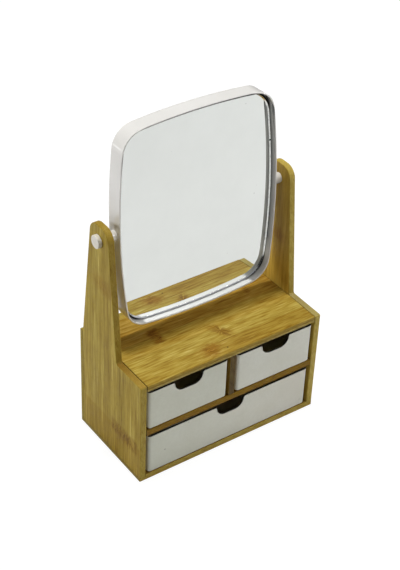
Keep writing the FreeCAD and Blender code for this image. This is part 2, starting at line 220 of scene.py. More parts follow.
# five albedo steps, from the darkest fibres to the palest
SHELF = (srgb(122, 86, 26), srgb(156, 124, 43), srgb(172, 144, 60),
         srgb(184, 158, 73), srgb(204, 182, 106))
SIDE = (srgb(118, 92, 34), srgb(145, 122, 54), srgb(158, 137, 68),
        srgb(169, 149, 82), srgb(188, 172, 112))
PALE = (srgb(126, 100, 38), srgb(156, 133, 60), srgb(170, 149, 76),
        srgb(182, 162, 91), srgb(204, 188, 124))
DEEP = (srgb(88, 56, 16), srgb(122, 90, 30), srgb(142, 111, 43),
        srgb(156, 127, 56), srgb(176, 151, 80))
DARK = srgb(78, 48, 14)


def scaled(colours, r, g, b):
    """The same colours, each channel of the linear value multiplied."""
    return tuple((c[0] * r, c[1] * g, c[2] * b, 1.0) for c in colours)


# noise layers of the grain: waves per metre along and across, share, detail
SHORT = ((24.0, 55.0, 0.42, 2.0), (10.0, 210.0, 0.30, 2.0),
         (46.0, 460.0, 1.35, 2.0), (70.0, 1700.0, 0.55, 2.0))
LONG = ((4.0, 70.0, 0.34, 2.0), (12.0, 190.0, 0.62, 2.0),
        (24.0, 470.0, 0.80, 2.0), (60.0, 1700.0, 0.40, 2.0))


def bamboo(name, grain, across, seed, pal, strip=0.020, offset=0.0, tones=(),
           zones=(), knots=(), lines=(), specks=(), end=None, edge=None,
           edge_low=None, layers=LONG, contrast=1.0, spread=0.10, hue=0.15,
           gloss=0.36):
    """Flat-pressed bamboo. All lengths in metres.

    grain and across are the axes along the strips and from strip to strip;
    strip is a strip's width. tones lists (strip number, red, green, blue)
    multipliers. zones lists (((axis, from, to, softness), ...), colour,
    strength) of slow tints. knots lists the knuckle marks, each a kind (bar,
    star or blotch), its place along and across, its half lengths along and
    across, its slope and its strength. lines lists (axis, place, width,
    strength) of dark joint lines: soiled glue joints, darkened further as painted
    shade in the grooves.
    """
    g = Graph(name)
    p = g.xyz(g.coords())
    n = g.xyz(g.normal())
    third = 3 - grain - across
    u, v, w = p[grain], p[across], p[third]

    def times(a, b):
        return g.math("MULTIPLY", a, b)

    def plus(a, b):
        return g.math("ADD", a, b)

    def minus(a, b):
        return g.math("SUBTRACT", a, b)

    # fibres wander slowly, and swirl round a knuckle
    wob = g.noise(g.vec(times(u, 7.0), times(v, 16.0), seed), 1.0, 2.0)
    v2 = plus(v, times(minus(wob, 0.5), 0.006))
    places = []
    near = None
    for (kind, ku, kv, ru, rv, slope, power) in knots:
        dv = minus(v, kv)
        du = minus(minus(u, ku), times(dv, slope))
        r = g.vmath("LENGTH", g.vec(g.math("DIVIDE", du, ru),
                                    g.math("DIVIDE", dv, rv), 0.0))
        a = g.ramp(r, 0.2, 1.5, min(1.0, power), 0.0, True)
        near = a if near is None else g.math("MAXIMUM", near, a)
        places.append((kind, du, dv, r, ru, rv, power))
    if near is not None:
        swirl = g.noise(g.vec(times(u, 120.0), times(v, 150.0), seed + 9.0),
                        1.0, 2.0)
        v2 = plus(v2, times(times(minus(swirl, 0.5), 0.008), near))

    pos = g.math("DIVIDE", plus(v, offset), strip)
    idx = g.math("FLOOR", pos)
    tone = g.white(plus(idx, seed * 7.31))
    fr = g.math("FRACT", pos)
    seam = g.math("MINIMUM", fr, minus(1.0, fr))
    seam = g.ramp(seam, 0.0, 0.0005 / strip, 1.0, 0.0)
    shift = plus(times(tone, 3.7), seed)

    f = times(minus(tone, 0.5), spread)
    coarse = fine = None
    for (along, lateral, share, detail) in layers:
        fine = g.noise(g.vec(plus(times(u, along), shift),
                             times(v2, lateral), times(w, lateral)),
                       1.0, detail, 0.6)
        coarse = fine if coarse is None else coarse
        f = plus(f, times(minus(fine, 0.5), share * contrast))
    f = g.math("ADD", f, 0.5, clamp=True)
    col = g.colors(f, list(zip((0.0, 0.30, 0.50, 0.70, 1.0), pal)))
    pores = g.noise(g.vec(times(u, 130.0), times(v2, 1400.0),
                          times(w, 1400.0)), 1.0, 1.0, 0.5)
    pores = g.ramp(pores, 0.60, 0.72)
    # some fibres are redder than others
    warm = g.noise(g.vec(plus(times(u, 14.0), shift), times(v2, 160.0),
                         seed + 4.0), 1.0, 2.0)
    col = g.mix(g.ramp(warm, 0.50, 0.70, 0.0, hue), col,
                srgb(176, 132, 48))
    col = g.mix(g.ramp(warm, 0.46, 0.30, 0.0, hue), col,
                srgb(172, 162, 90))
    col = g.mix(times(pores, 0.20 * contrast), col, DARK)
    col = g.mix(times(seam, 0.30), col, srgb(110, 78, 26))
    for (k, r, gr, b) in tones:
        here = g.math("COMPARE", idx, float(k), 0.1)
        col = g.mix(here, col, g.mix(1.0, col, (r, gr, b, 1.0), "MULTIPLY"))
    for (where, tint, power) in zones:
        m = None
        for (axis, lo, hi, soft) in where:
            k = times(g.ramp(p[axis], lo - soft, lo + soft, 0.0, 1.0, True),
                      g.ramp(p[axis], hi - soft, hi + soft, 1.0, 0.0, True))
            m = k if m is None else times(m, k)
        col = g.mix(times(m, power), col, g.mix(1.0, col, tint, "MULTIPLY"))

    # knuckles
    knot_h = None
    if places:
        hair = g.noise(g.vec(times(u, 75.0), times(v2, 700.0), seed), 1.0,
                       2.0, 0.6)
        hair = g.ramp(hair, 0.44, 0.62)
        patch = g.noise(g.vec(times(u, 190.0), times(v, 230.0), seed + 2.0),
                        1.0, 3.0, 0.6)
        dash = g.noise(g.vec(times(u, 85.0), times(v2, 900.0), seed + 5.0),
                       1.0, 2.0, 0.55)
        dash = g.ramp(dash, 0.47, 0.56)
        loose = times(minus(patch, 0.5), 1.1)
        for (kind, du, dv, r, ru, rv, power) in places:
            if kind == "star":
                ray = g.vmath("NORMALIZE", g.vec(du, dv, 0.0))
                ray = g.noise(g.vmath("MULTIPLY", ray, (3.4, 3.4, 3.4)), 1.0,
                              3.0, 0.6)
                mark = times(g.ramp(plus(ray, times(loose, 0.10)), 0.41, 0.55),
                             g.ramp(plus(r, times(loose, 0.35)), 0.25, 1.05,
                                    1.0, 0.0, True))
                halo = g.ramp(r, 0.1, 1.2, 1.0, 0.0, True)
                core = g.ramp(g.vmath("LENGTH", g.vec(du, dv, 0.0)), 0.0006,
                              0.0020, 1.0, 0.0)
                mark = g.math("MAXIMUM", mark, core)
                col = g.mix(times(halo, 0.70 * power), col,
                            g.mix(1.0, col, (0.90, 0.74, 0.50, 1.0),
                                  "MULTIPLY"))
                col = g.mix(times(mark, 0.76 * power), col,
                            srgb(112, 72, 18))
            elif kind == "bar":
                side = g.math("ABSOLUTE", g.math("DIVIDE", dv, rv))
                inside = g.ramp(plus(side, times(loose, 0.12)), 0.80, 1.05,
                                1.0, 0.0, True)
                near = g.math("ABSOLUTE", g.math("DIVIDE", du, ru))
                near = g.ramp(plus(near, times(loose, 0.5)), 0.25, 1.10, 1.0,
                              0.0, True)
                mark = times(inside, near)
                col = g.mix(times(mark, 0.85 * power), col,
                            g.mix(1.0, col, (0.76, 0.58, 0.38, 1.0),
                                  "MULTIPLY"))
                mark = times(mark, hair)
                col = g.mix(times(mark, 0.88 * power), col, srgb(98, 58, 14))
            elif kind == "dashes":
                side = g.math("ABSOLUTE", g.math("DIVIDE", dv, rv))
                inside = g.ramp(side, 0.85, 1.0, 1.0, 0.0, True)
                near = g.math("ABSOLUTE", g.math("DIVIDE", du, ru))
                near = g.ramp(plus(near, times(loose, 0.5)), 0.35, 1.05, 1.0,
                              0.0, True)
                mark = times(inside, near)
                col = g.mix(times(mark, 0.75 * power), col,
                            g.mix(1.0, col, (0.86, 0.76, 0.56, 1.0),
                                  "MULTIPLY"))
                mark = times(mark, dash)
                col = g.mix(times(mark, 0.90 * power), col, srgb(112, 80, 24))
            else:
                mark = g.ramp(plus(r, times(loose, 0.8)), 0.20, 1.15, 1.0,
                              0.0, True)
                col = g.mix(times(mark, 0.95 * power), col,
                            g.mix(1.0, col, (0.80, 0.60, 0.32, 1.0),
                                  "MULTIPLY"))
                mark = times(mark, hair)
                col = g.mix(times(mark, 0.70 * power), col, srgb(112, 68, 16))
            knot_h = mark if knot_h is None else g.math("MAXIMUM", knot_h,
                                                        mark)
    for (place, radius) in specks:
        d = g.vmath("DISTANCE", g.coords(), place)
        col = g.mix(g.ramp(d, radius * 0.55, radius, 0.9, 0.0), col,
                    srgb(44, 26, 10))

    # the strips' cut ends, where the face is square to the grain
    ends = g.ramp(g.math("ABSOLUTE", n[grain]), 0.50, 0.85)
    if end is not None:
        cells = g.voronoi(g.coords(), 1150.0)
        dots = g.ramp(cells, 0.15, 0.42, 1.0, 0.0)
        blot = g.noise(g.coords(), 210.0, 3.0, 0.6)
        endcol = g.mix(g.ramp(blot, 0.40, 0.62, 0.0, 0.55), end[0], end[1])
        endcol = g.mix(times(dots, 0.42), endcol, end[2])
        if len(end) > 3:
            endcol = g.mix(g.ramp(p[Y], end[4], end[5], 0.0, 1.0), endcol,
                           g.mix(1.0, endcol, end[3], "MULTIPLY"))
    else:
        endcol = col

    # the board's narrow edges along the grain: laminations and short flecks
    if edge is not None:
        side = g.ramp(g.math("ABSOLUTE", n[across]), 0.50, 0.85)
        k = [260.0, 260.0, 260.0]
        k[grain] = 95.0
        weave = g.noise(g.vec(times(plus(p[0], times(p[2], 0.45)), k[0]),
                              times(p[1], k[1]),
                              times(plus(p[2], times(p[0], 0.45)), k[2])),
                        1.0, 3.0, 0.6, 0.4)
        k2 = [900.0, 900.0, 900.0]
        k2[grain] = 180.0
        fleck = g.noise(g.vec(times(p[0], k2[0]), times(p[1], k2[1]),
                              times(p[2], k2[2])), 1.0, 3.0, 0.65, 0.5)
        ec = g.mix(g.ramp(weave, 0.44, 0.64, 0.0, 0.75), edge[0], edge[1])
        ec = g.mix(g.ramp(fleck, 0.50, 0.70, 0.0, 0.70), ec, edge[2])
        ec = g.mix(g.ramp(fleck, 0.44, 0.30, 0.0, 0.45), ec, edge[1])
        if edge_low is not None:
            axis, lo, hi, tint, power = edge_low
            ec = g.mix(g.ramp(p[axis], lo, hi, power, 0.0), ec,
                       g.mix(1.0, ec, tint, "MULTIPLY"))
        endcol = g.mix(g.ramp(p[Z], 0.15, 0.20), endcol, ec)
        col = g.mix(side, col, ec)
    col = g.mix(ends, col, endcol)
    # joint lines: soiled glue joints, darkened further as painted shade in the
    # grooves
    for (axis, place, width, power) in lines:
        d = g.math("ABSOLUTE", minus(p[axis], place))
        col = g.mix(g.ramp(d, width * 0.45, width, power, 0.0), col,
                    srgb(52, 32, 10))

    rough = g.ramp(fine, 0.25, 0.75, gloss - 0.05, gloss + 0.12)
    rough = plus(rough, times(ends, 0.15))
    h = plus(times(fine, 0.9), times(coarse, 0.3))
    h = minus(h, times(pores, 0.5))
    h = minus(h, times(seam, 0.8))
    if knot_h is not None:
        h = minus(h, times(knot_h, 0.5))
    g.set(Base_Color=col, Roughness=rough,
          Normal=g.bump(h, 0.25, 0.00012))
    g.bsdf.inputs["Specular IOR Level"].default_value = 0.10
    return g.mat


PALE_EDGE = (srgb(172, 150, 76), srgb(190, 170, 98), srgb(128, 98, 40))
END_ORANGE = (srgb(157, 128, 51), srgb(168, 141, 61), srgb(104, 70, 18),
              (0.66, 0.57, 0.46, 1.0), -0.050, -0.016)
END_BEIGE = (srgb(172, 155, 90), srgb(181, 164, 99), srgb(120, 99, 50),
             (0.82, 0.80, 0.84, 1.0), -0.050, -0.024)

paint("top_shelf", bamboo(
    "bamboo_top_shelf", X, Y, 1.0, SHELF, 0.0205, 0.0363,
    tones=[(-1, 0.890, 0.855, 0.740), (0, 1.035, 1.09, 1.15),
           (1, 1.00, 0.98, 0.94), (2, 1.06, 0.94, 0.87),
           (3, 1.04, 0.94, 0.9)],
    zones=[(((Y, -0.060, -0.0363, 0.0005), (X, -0.12, -0.030, 0.040)),
            (1.02, 1.06, 1.08, 1.0), 1.0)],
    knots=[("bar", -0.0535, 0.0045, 0.0085, 0.0125, 0.10, 1.0),
           ("star", 0.0069, -0.0225, 0.0090, 0.0170, -0.45, 1.0),
           ("blotch", -0.0185, -0.0430, 0.0140, 0.0130, 0.30, 1.0),
           ("bar", 0.0700, 0.0210, 0.0045, 0.0090, 0.10, 0.50)],
    specks=[((-0.0022, -0.0483, 0.1225), 0.0011)],
    lines=[(X, -0.103, 0.0008, 0.90), (X, 0.103, 0.0008, 0.90),
           (Z, 0.1190, 0.0014, 0.20)],
    edge=scaled((srgb(164, 134, 56), srgb(180, 152, 74), srgb(118, 86, 32)),
                0.94, 0.95, 0.76),
    # painted reflection: the lower part of the front edge is tinted grey-green
    edge_low=(Z, 0.1164, 0.1186, (1.22, 1.45, 2.9, 1.0), 0.95),
    layers=SHORT, spread=0.08, hue=0.08))
paint("middle_shelf", bamboo(
    "bamboo_middle_shelf", X, Y, 2.0, DEEP, 0.0205, 0.0363,
    knots=[("bar", 0.040, -0.020, 0.004, 0.010, 0.1, 0.7),
           ("bar", -0.060, 0.021, 0.004, 0.009, 0.1, 0.7)],
    lines=[(X, -0.103, 0.0008, 0.90), (X, 0.103, 0.0008, 0.90)],
    edge=scaled((srgb(148, 112, 44), srgb(160, 124, 54), srgb(106, 72, 24)),
                0.80, 0.78, 0.18)))
paint("bottom_panel", bamboo(
    "bamboo_bottom_panel", X, Y, 3.0, DEEP, 0.0205, 0.0363,
    knots=[("bar", -0.030, 0.021, 0.004, 0.010, 0.1, 0.7)],
    end=scaled((srgb(158, 136, 74), srgb(146, 124, 66), srgb(104, 82, 38)),
               0.96, 1.05, 1.25) + ((0.88, 0.80, 0.58, 1.0), 0.030, -0.020),
    edge=scaled((srgb(166, 142, 68), srgb(180, 158, 84), srgb(126, 96, 38)),
                1.19, 1.19, 1.04)))
paint("center_divider", bamboo(
    "bamboo_divider", Z, Y, 4.0, DEEP, 0.0205, 0.0363,
    edge=scaled((srgb(108, 88, 54), srgb(124, 106, 70), srgb(54, 38, 20)),
                0.73, 0.70, 0.52),
    contrast=1.2))
paint("left_side_panel", bamboo(
    "bamboo_left_side", Z, Y, 5.0, scaled(SIDE, 1.12, 1.09, 0.69), 0.0125,
    0.0520,
    tones=[(0, 1.00, 1.00, 1.00), (1, 1.05, 1.05, 1.04),
           (2, 0.94, 0.94, 0.93), (3, 1.04, 1.04, 1.03),
           (4, 0.96, 0.95, 0.94), (5, 1.03, 1.04, 1.06),
           (6, 0.95, 0.95, 0.95), (7, 1.03, 1.03, 1.03),
           (8, 1.05, 1.05, 1.05)],
    # painted shade: the first zone makes the panel darker towards the bottom
    zones=[(((Z, -0.02, 0.042, 0.002),), (0.90, 0.84, 0.67, 1.0), 1.0),
           (((Z, 0.118, 0.30, 0.004),), (1.05, 1.06, 1.07, 1.0), 1.0)],
    knots=[("dashes", 0.0400, -0.0265, 0.0110, 0.0255, 0.03, 1.0),
           ("blotch", 0.2020, 0.0130, 0.0120, 0.0250, 0.10, 0.42)],
    end=END_ORANGE,
    edge=scaled((srgb(150, 128, 58), srgb(164, 143, 72), srgb(116, 88, 34)),
                1.08, 1.03, 0.74),
    edge_low=(Z, 0.1222, 0.1228, (1.19, 1.28, 1.60, 1.0), 1.0),
    lines=[(Z, 0.0043, 0.0006, 0.20)],
    layers=LONG, contrast=1.7, spread=0.0, hue=0.06))
paint("right_side_panel", bamboo(
    "bamboo_right_side", Z, Y, 6.0, scaled(PALE, 1.10, 0.96, 0.60), 0.0125,
    0.0480,
    zones=[(((Z, 0.115, 0.172, 0.020),), (1.27, 1.29, 1.40, 1.0), 1.0)],
    knots=[("dashes", 0.0850, -0.0145, 0.0050, 0.0125, 0.05, 0.7),
           ("blotch", 0.1850, 0.0130, 0.0110, 0.0130, 0.1, 0.5)],
    end=END_BEIGE,
    edge=scaled((srgb(176, 156, 78), srgb(190, 172, 96), srgb(140, 112, 48)),
                1.02, 0.98, 0.80),
    edge_low=(Z, 0.1222, 0.1228, (1.05, 1.06, 1.16, 1.0), 1.0),
    layers=LONG, contrast=1.0, spread=0.05, hue=0.08))
paint("back_panel", bamboo(
    "bamboo_back", X, Z, 7.0, PALE, 0.0245, 0.010,
    knots=[("bar", -0.046, 0.0268, 0.0050, 0.0120, 0.05, 0.8),
           ("bar", 0.032, 0.0758, 0.0050, 0.0118, -0.1, 0.7),
           ("bar", 0.081, 0.0513, 0.0050, 0.0118, 0.1, 0.6)],
    end=scaled((srgb(172, 152, 90), srgb(160, 138, 78), srgb(122, 100, 52)),
               0.81, 0.81, 0.48),
    edge=scaled(PALE_EDGE, 0.95, 0.95, 0.80), spread=0.16))


# birch dowels, hidden in the joints
g = Graph("dowel_birch")
c = g.noise(g.vec(*[g.math("MULTIPLY", q, 400.0) for q in g.xyz(g.coords())]),
            1.0, 3.0)
g.set(Base_Color=g.colors(c, [(0.3, srgb(196, 170, 122)),
                              (0.7, srgb(222, 200, 156))]),
      Roughness=g.ramp(c, 0.3, 0.7, 0.55, 0.75), Normal=g.bump(c, 0.2, 0.0001))
paint(["top_shelf_dowels", "middle_shelf_dowels", "divider_dowels",
       "bottom_panel_dowels"], g.mat)

# zinc-plated screws
g = Graph("screw_zinc")
c = g.noise(g.coords(), 1400.0, 3.0, 0.6)
g.set(Base_Color=g.colors(c, [(0.3, srgb(168, 168, 160)),
                              (0.7, srgb(206, 206, 200))]),
      Roughness=g.ramp(c, 0.3, 0.7, 0.22, 0.42), Normal=g.bump(c, 0.15, 0.00005))
g.bsdf.inputs["Metallic"].default_value = 1.0
paint("back_panel_screws", g.mat)


# ---------------------------------------------------------------------------
# drawers: fine matte moulded plastic
# ---------------------------------------------------------------------------
def drawer_plastic(name, seed, shade, middle, top, marks=()):
    g = Graph(name)
    p = g.xyz(g.coords())
    cloud = g.noise(g.vec(p[0], p[1], g.math("ADD", p[2], seed)), 26.0, 3.0,
                    0.55)
    grit = g.noise(g.coords(), 2600.0, 2.0, 0.6)
    mottle = g.noise(g.coords(), 420.0, 2.0, 0.6)
    col = g.colors(cloud, [(0.30, srgb(219, 217, 205)),
                           (0.70, srgb(227, 226, 217))])
    col = g.mix(g.ramp(mottle, 0.40, 0.62, 0.0, 0.30), col,
                srgb(214, 212, 200))
    # a faint scatter of dust specks
    sp = g.voronoi(g.coords(), 95.0)
    sp = g.ramp(sp, 0.018, 0.040, 1.0, 0.0)
    keep = g.ramp(g.noise(g.coords(), 60.0, 1.0), 0.60, 0.66)
    col = g.mix(g.math("MULTIPLY", g.math("MULTIPLY", sp, keep), 0.35), col,
                srgb(120, 112, 92))
    # painted shade: each front is painted darker towards one end, standing in for
    # uneven light across the fronts
    col = g.mix(g.ramp(p[0], -0.10, 0.10), g.mix(1.0, col, shade[0],
                                                 "MULTIPLY"),
                g.mix(1.0, col, shade[1], "MULTIPLY"))
    for (x, z, r, power) in marks:
        d = g.vmath("LENGTH", g.vec(g.math("SUBTRACT", p[0], x), 0.0,
                                    g.math("SUBTRACT", p[2], z)))
        front = g.ramp(p[1], -0.0545, -0.0550, 0.0, 1.0)
        m = g.math("MULTIPLY", g.ramp(d, r * 0.5, r, power, 0.0), front)
        col = g.mix(m, col, srgb(96, 90, 70))
    # painted shade: the front wall's rim, the tops of the walls and the cut faces
    # of the notch are painted near black, as the shade under the board above
    n = g.xyz(g.normal())
    rim_notch_shade = g.math("MULTIPLY", g.ramp(p[1], -0.0530, -0.0535, 0.0, 1.0),
                  g.ramp(p[2], top - 0.0134, top - 0.0130))
    rim_notch_shade = g.math("MULTIPLY", rim_notch_shade, g.ramp(n[1], -0.88, -0.70))
    aside = g.math("ABSOLUTE", g.math("SUBTRACT", p[0], middle))
    rim_notch_shade = g.math("MULTIPLY", rim_notch_shade, g.math(
        "MAXIMUM", g.ramp(aside, 0.0190, 0.0195, 1.0, 0.0),
        g.ramp(n[2], 0.3, 0.6)))
    rim = g.math("MULTIPLY", g.ramp(p[2], top - 0.0004, top - 0.0002),
                 g.ramp(n[2], 0.3, 0.6))
    rim_notch_shade = g.math("MAXIMUM", rim_notch_shade, g.math("MULTIPLY", rim, 0.6))
    col = g.mix(g.math("MULTIPLY", rim_notch_shade, 0.97), col, srgb(34, 28, 20))
    g.set(Base_Color=col, Roughness=g.ramp(grit, 0.3, 0.7, 0.38, 0.52),
          Normal=g.bump(g.math("ADD", g.math("MULTIPLY", grit, 0.5), cloud),
                        0.10, 0.00006))
    g.bsdf.inputs["Specular IOR Level"].default_value = 0.42
    return g.mat


# painted shade: the two shade colours of each drawer set how dark its ends are
# painted
paint("drawer_left", drawer_plastic(
    "drawer_plastic_left", 1.0, ((0.905, 0.925, 0.860, 1.0),
                                 (0.895, 0.915, 0.880, 1.0)),
    -0.05325, 0.1125))
paint("drawer_right", drawer_plastic(
    "drawer_plastic_right", 2.0, ((0.95, 0.97, 0.94, 1.0),
                                  (1.01, 1.02, 1.00, 1.0)),
    0.05325, 0.1125))
paint("drawer_bottom", drawer_plastic(
    "drawer_plastic_bottom", 3.0, ((0.895, 0.925, 0.875, 1.0),
                                   (1.01, 1.00, 0.98, 1.0)),
    0.0, 0.0550,
    marks=[(-0.0800, 0.0297, 0.0011, 0.55), (-0.0516, 0.0520, 0.0007, 0.4),
           (0.0930, 0.0150, 0.0022, 0.14)]))

# ---------------------------------------------------------------------------
# mirror: glossy frame, silvered glass, black foam, pins
# ---------------------------------------------------------------------------
# the glass: its outline is four shallow arcs and four corner arcs
HALF_W, HALF_H, SAG_W, SAG_H = 0.0925, 0.1110, 0.0090, 0.0063
GLASS_IN, GLASS_RC = 0.0019, 0.0307
LAND = 0.0014                   # width of the ground edge
OUTER, SILVER, INNER = 0.00245, 0.00145, 0.00130    # depths from mid-plane


def glass_arcs():
    ra = (HALF_H ** 2 + SAG_W ** 2) / (2 * SAG_W)
    rb = (HALF_W ** 2 + SAG_H ** 2) / (2 * SAG_H)
    c1, c2 = Vector((HALF_W - ra, 0.0)), Vector((0.0, HALF_H - rb))
    ra, rb = ra - GLASS_IN, rb - GLASS_IN
    r1, r2 = ra - GLASS_RC, rb - GLASS_RC
    gap = c2 - c1
    d = gap.length
    e = gap / d
    h0 = (r1 * r1 - r2 * r2 + d * d) / (2 * d)
    h = math.sqrt(r1 * r1 - h0 * h0)
    k = max((c1 + e * h0 + Vector((-e.y, e.x)) * h * s for s in (1, -1)),
            key=lambda q: q.x + q.y)
    return ra, rb, c1, c2, k, (k - c1).normalized(), (k - c2).normalized()


PIVOT = (0.0, 0.01935, 0.2508)
LEAN = math.radians(3.4)


def pivot_frame(g):
    """Position and normal seen along the mirror's own axes."""
    p = g.xyz(g.coords())
    q = g.vec(p[0], g.math("SUBTRACT", p[1], PIVOT[1]),
              g.math("SUBTRACT", p[2], PIVOT[2]))
    ey = (0.0, math.cos(LEAN), -math.sin(LEAN))
    ez = (0.0, math.sin(LEAN), math.cos(LEAN))
    return q, p[0], g.vmath("DOT_PRODUCT", q, ey), g.vmath("DOT_PRODUCT", q,
                                                           ez)


def edge_distance(g):
    """Place on the mirror, and how far inside the glass outline it is."""
    ra, rb, c1, c2, k, d1, d2 = glass_arcs()
    q, sx, sy, sz = pivot_frame(g)
    ax, az = g.math("ABSOLUTE", sx), g.math("ABSOLUTE", sz)

    def far(c):
        return g.vmath("LENGTH", g.vec(g.math("SUBTRACT", ax, c[0]),
                                       g.math("SUBTRACT", az, c[1]), 0.0))

    long_side = g.math("SUBTRACT", ra, far(c1))
    short_side = g.math("SUBTRACT", rb, far(c2))
    corner = g.math("SUBTRACT", GLASS_RC, far(k))
    qx = g.math("SUBTRACT", ax, k[0])
    qz = g.math("SUBTRACT", az, k[1])
    past1 = g.math("GREATER_THAN",
                   g.math("SUBTRACT", g.math("MULTIPLY", qz, d1.x),
                          g.math("MULTIPLY", qx, d1.y)), 0.0)
    past2 = g.math("GREATER_THAN",
                   g.math("SUBTRACT", g.math("MULTIPLY", qx, d2.y),
                          g.math("MULTIPLY", qz, d2.x)), 0.0)
    in_corner = g.math("MULTIPLY", past1, past2)
    flat = g.math("MINIMUM", long_side, short_side)
    inset = g.math("ADD", g.math("MULTIPLY", corner, in_corner),
                   g.math("MULTIPLY", flat,
                          g.math("SUBTRACT", 1.0, in_corner)))
    return sx, sy, sz, inset


g = Graph("frame_gloss_white")
peel = g.noise(g.coords(), 150.0, 2.0, 0.5)
grit = g.noise(g.coords(), 1800.0, 2.0, 0.6)
tint = g.noise(g.coords(), 22.0, 2.0, 0.5)
col = g.colors(tint, [(0.3, srgb(232, 230, 225)), (0.7, srgb(238, 236, 232))])
# painted shade: the inner wall in the slot behind the glass is painted near
# black, and pale along the bottom
q, sx, sy, sz = pivot_frame(g)
inward = g.ramp(g.vmath("DOT_PRODUCT", g.normal(), g.vmath("NORMALIZE", q)),
                -0.30, -0.20, 1.0, 0.0)
slot = g.ramp(g.math("ABSOLUTE", sy), 0.0020, 0.0026, 1.0, 0.0)
low = g.ramp(sz, -0.102, -0.094, 1.0, 0.0)
# painted shade: the right-hand inner wall is painted darker towards the glass,
# where little light reaches
wall_glass_shade = g.math("MULTIPLY", g.ramp(g.math("ABSOLUTE", sy), 0.0022, 0.0085,
                                  0.96, 0.34), g.ramp(sx, 0.040, 0.075))
wall_glass_shade = g.math("MULTIPLY", wall_glass_shade, g.ramp(sz, -0.080, -0.062))
col = g.mix(g.math("MULTIPLY", wall_glass_shade, inward), col, srgb(70, 70, 66))
col = g.mix(g.math("MULTIPLY", slot, inward), col,
            g.mix(low, srgb(22, 20, 18), srgb(196, 194, 190)))
# a shadow line along the lip round the glass, deepest at the upper right
sx, sy, sz, inset = edge_distance(g)
lip = g.math("MULTIPLY", g.ramp(inset, -0.0019, -0.0016),
             g.ramp(g.math("ABSOLUTE", sy), 0.0066, 0.0072))
deep = g.math("MULTIPLY", g.ramp(sx, -0.080, 0.050, 0.45, 0.98),
              g.ramp(sz, 0.060, 0.085))
col = g.mix(g.math("MULTIPLY", lip, deep), col, srgb(30, 28, 26))
g.set(Base_Color=col, Roughness=g.ramp(grit, 0.3, 0.75, 0.10, 0.20),
      Normal=g.bump(g.math("ADD", peel, g.math("MULTIPLY", grit, 0.05)), 0.08,
                    0.00030))
g.bsdf.inputs["Coat Weight"].default_value = 0.8
g.bsdf.inputs["Coat Roughness"].default_value = 0.11
paint("mirror_frame", g.mat)

g = Graph("pin_gloss_white")
grit = g.noise(g.coords(), 1600.0, 2.0, 0.6)
wear = g.noise(g.coords(), 300.0, 3.0, 0.6)
col = g.colors(wear, [(0.3, srgb(222, 216, 200)), (0.7, srgb(234, 230, 220))])
g.set(Base_Color=col, Roughness=g.ramp(grit, 0.3, 0.75, 0.25, 0.42),
      Normal=g.bump(grit, 0.1, 0.00008))
paint(["pivot_pin_left", "pivot_pin_right"], g.mat)

g = Graph("washer_nylon")
grit = g.noise(g.coords(), 900.0, 2.0, 0.6)
g.set(Base_Color=g.colors(grit, [(0.3, srgb(214, 210, 196)),
                                 (0.7, srgb(228, 225, 214))]),
      Roughness=g.ramp(grit, 0.3, 0.7, 0.45, 0.6), Normal=g.bump(grit, 0.1,
                                                                0.00008))
paint(["friction_washer_left", "friction_washer_right"], g.mat)

g = Graph("foam_black")
cell = g.voronoi(g.coords(), 2200.0)
p = g.xyz(g.coords())
base = g.colors(cell, [(0.0, srgb(12, 12, 13)), (0.6, srgb(30, 30, 31))])
# flakes of silvering stuck to the foam in the lower right corner
flake = g.noise(g.vec(g.math("MULTIPLY", p[0], 900.0),
                      g.math("MULTIPLY", p[1], 900.0),
                      g.math("MULTIPLY", p[2], 420.0)), 1.0, 2.0, 0.6)
there = g.math("MULTIPLY", g.ramp(p[0], 0.060, 0.070),
               g.ramp(p[2], 0.176, 0.166))
flake = g.math("MULTIPLY", g.ramp(flake, 0.56, 0.62), there)
base = g.mix(g.math("MULTIPLY", flake, 0.85), base, srgb(196, 198, 204))
g.set(Base_Color=base, Roughness=g.ramp(cell, 0.0, 0.6, 0.95, 0.75),
      Normal=g.bump(cell, 0.5, 0.0002))
paint(["front_adhesive_pad", "rear_adhesive_pad"], g.mat)

g = Graph("fibreboard")
fib = g.noise(g.coords(), 700.0, 3.0, 0.65, 1.0)
g.set(Base_Color=g.colors(fib, [(0.3, srgb(104, 84, 58)),
                                (0.7, srgb(140, 118, 84))]),
      Roughness=g.ramp(fib, 0.3, 0.7, 0.8, 0.95), Normal=g.bump(fib, 0.4,
                                                               0.0002))
paint("mirror_backing_board", g.mat)

# the glass
def glass_ring(inset):
    """The outline, moved inwards, as points (x, z) on the mirror's plane."""
    ra, rb, c1, c2, k, d1, d2 = glass_arcs()
    a1, a2 = math.atan2(d1.y, d1.x), math.atan2(d2.y, d2.x)
    pts = []
    for c, r, lo, hi, n in ((c1, ra - inset, 0.0, a1, 26),
                            (k, GLASS_RC - inset, a1, a2, 22),
                            (c2, rb - inset, a2, math.pi / 2, 26)):
        for i in range(n):
            t = lo + (hi - lo) * i / n
            pts.append((c.x + r * math.cos(t), c.y + r * math.sin(t)))
    pts.append((0.0, c2.y + rb - inset))
    quarter = pts
    ring = list(quarter)
    ring += [(-x, z) for x, z in reversed(quarter[:-1])]
    ring += [(-x, -z) for x, z in quarter[1:]]
    ring += [(x, -z) for x, z in reversed(quarter[1:-1])]
    return ring


